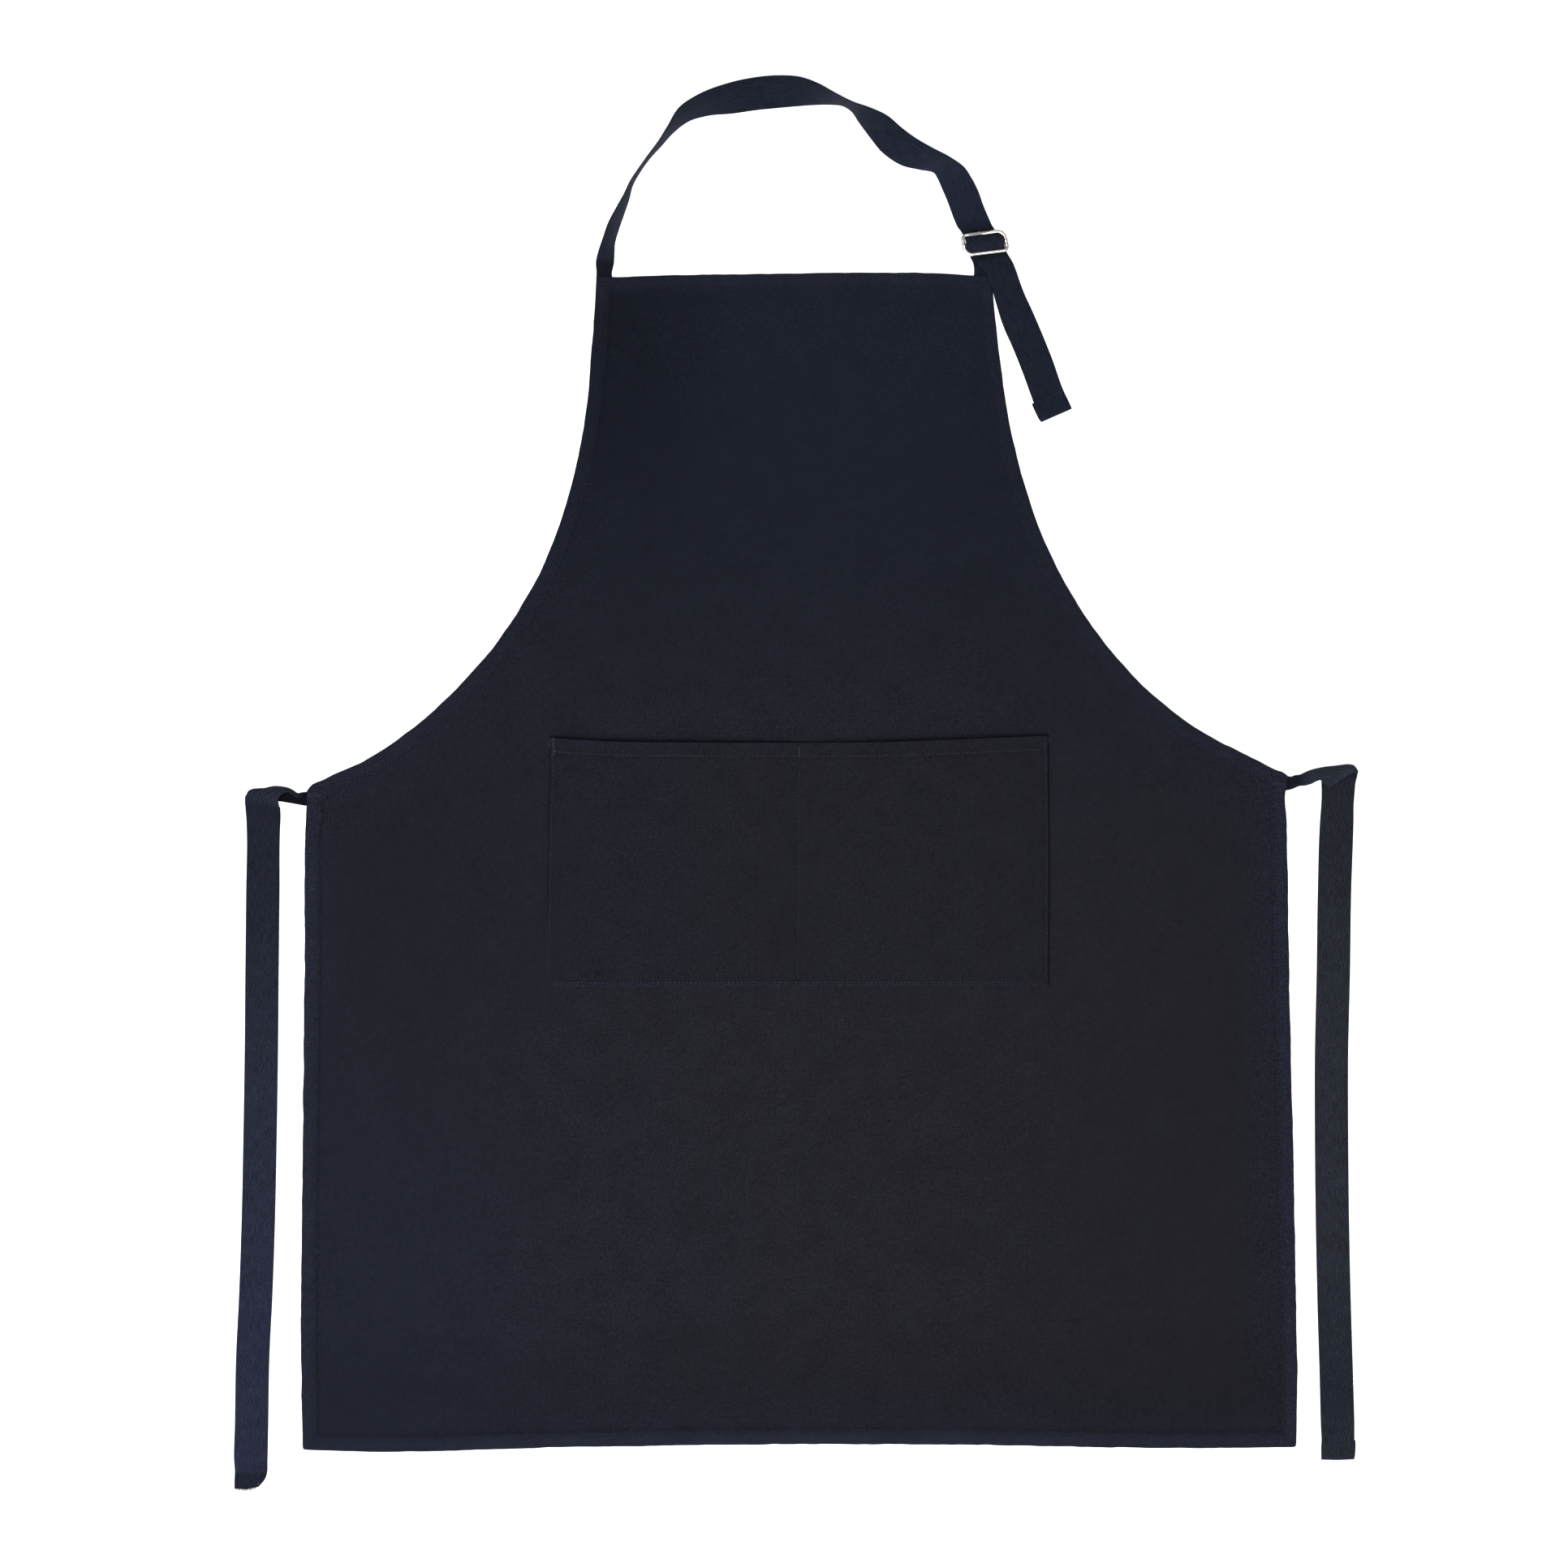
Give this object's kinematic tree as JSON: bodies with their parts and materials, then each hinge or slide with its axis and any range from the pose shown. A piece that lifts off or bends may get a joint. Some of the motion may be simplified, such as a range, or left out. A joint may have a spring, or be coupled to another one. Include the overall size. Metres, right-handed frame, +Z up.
{
  "type": "bib apron",
  "caption": "Bib apron lying flat: twill panel with a divided patch pocket, two waist ties and a neck strap adjusted by a metal slider.",
  "frame": {"origin": "on the flat underside of the cloth panel, on its centreline, level with the middle of the pocket; the apron lies on its back, front side up", "axes": "+Y towards the neck strap, +X towards the slider's side (the right in a front view), +Z up out of the front of the cloth"},
  "size_m": [0.8021, 1.0086, 0.0237],
  "materials": {
    "twill_cloth": "matt dark navy cotton twill, washed",
    "herringbone_tape": "matt navy cotton herringbone tape",
    "thread": "navy sewing thread, slightly lighter than the cloth",
    "slider_metal": "polished nickel-plated steel wire"
  },
  "bodies": {
    "apron": {"anchor_bartack": "thread", "anchor_sewn_end": "herringbone_tape", "body_panel": "twill_cloth", "bottom_hem_stitching": "thread", "left_armhole_stitching": "thread", "left_side_stitching": "thread", "left_tie_bartack": "thread", "left_tie_sewn_end": "herringbone_tape", "neck_strap_bartack": "thread", "neck_strap_sewn_end": "herringbone_tape", "pocket_divider_bartack": "thread", "pocket_divider_stitching": "thread", "pocket_edge_stitching": "thread", "pocket_mouth_stitching": "thread", "pocket_panel": "twill_cloth", "right_armhole_stitching": "thread", "right_side_stitching": "thread", "right_tie_bartack": "thread", "right_tie_sewn_end": "herringbone_tape", "top_hem_stitching": "thread"},
    "neck_loop": {"neck_strap": "herringbone_tape", "anchor_loop": "herringbone_tape", "slider_frame": "slider_metal", "slider_bar": "slider_metal"},
    "free_tail": {"strap_tail": "herringbone_tape", "strap_tail_stitching": "thread"},
    "left_waist_tie": {"left_tie": "herringbone_tape", "left_tie_end_stitching": "thread"},
    "right_waist_tie": {"right_tie": "herringbone_tape", "right_tie_end_stitching": "thread"}
  },
  "joints": [
    {"name": "neck_loop_lift", "type": "hinge", "parent": "apron", "child": "neck_loop", "pos_m": [0, 0.4199, 0.0008], "axis": [1, 0, 0], "range_deg": [0, 100]},
    {"name": "free_tail_follow", "type": "hinge", "parent": "neck_loop", "child": "free_tail", "pos_m": [0.13326, 0.4349, 0.0042], "axis": [0.9925, 0.1219, 0], "range_deg": [-100, 0]},
    {"name": "left_tie_swing", "type": "hinge", "parent": "apron", "child": "left_waist_tie", "pos_m": [-0.3585, 0.047, 0.0015], "axis": [0, 0, 1], "range_deg": [-100, 0]},
    {"name": "right_tie_swing", "type": "hinge", "parent": "apron", "child": "right_waist_tie", "pos_m": [0.36, 0.0592, 0.0015], "axis": [0, 0, 1], "range_deg": [0, 100]}
  ],
  "couplings": [
    {"joint": "free_tail_follow", "follows": "neck_loop_lift", "ratio": -1}
  ]
}
